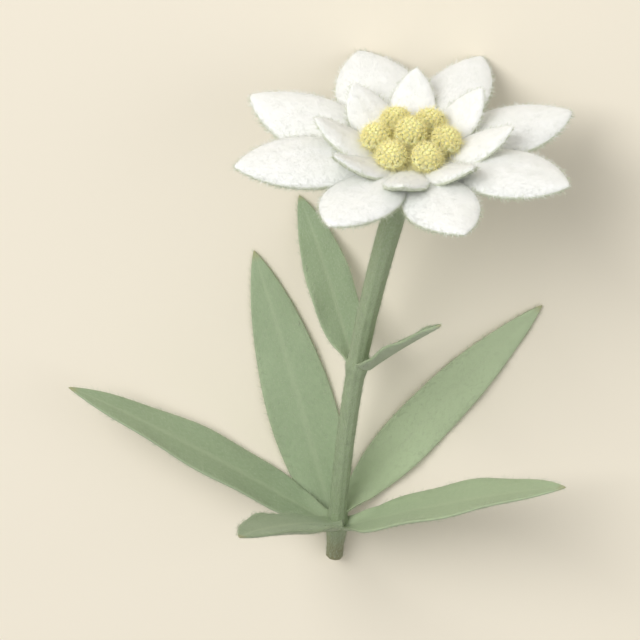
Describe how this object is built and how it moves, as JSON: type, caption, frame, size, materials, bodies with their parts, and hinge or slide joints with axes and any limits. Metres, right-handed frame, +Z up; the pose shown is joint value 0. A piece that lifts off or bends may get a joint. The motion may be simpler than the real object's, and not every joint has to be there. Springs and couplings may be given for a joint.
{
  "type": "edelweiss",
  "caption": "Cut edelweiss lying on its back: a felted white star of bracts round yellow flower heads, on a leafy stem with its rosette of lance-shaped leaves.",
  "frame": {"origin": "on the surface the flower lies on, under the middle of its box", "axes": "+Y from the cut end towards the bloom, within about 10 degrees of the stem seen from above; +Z up off the surface; +X to the right seen from above with the bloom away from the viewer"},
  "size_m": [0.0749, 0.0803, 0.0425],
  "materials": {
    "bract": "matte",
    "head": "matte",
    "leaf": "matte",
    "stem": "matte"
  },
  "bodies": {
    "root": {"stem": "stem", "leaf_basal_1": "leaf", "leaf_basal_2": "leaf", "leaf_basal_3": "leaf", "leaf_basal_4": "leaf", "leaf_basal_5": "leaf", "leaf_stem_1": "leaf", "leaf_stem_2": "leaf", "bracts": "bract", "head_centre": "head", "head_1": "head", "head_2": "head", "head_3": "head", "head_4": "head", "head_5": "head", "head_6": "head"}
  },
  "joints": []
}
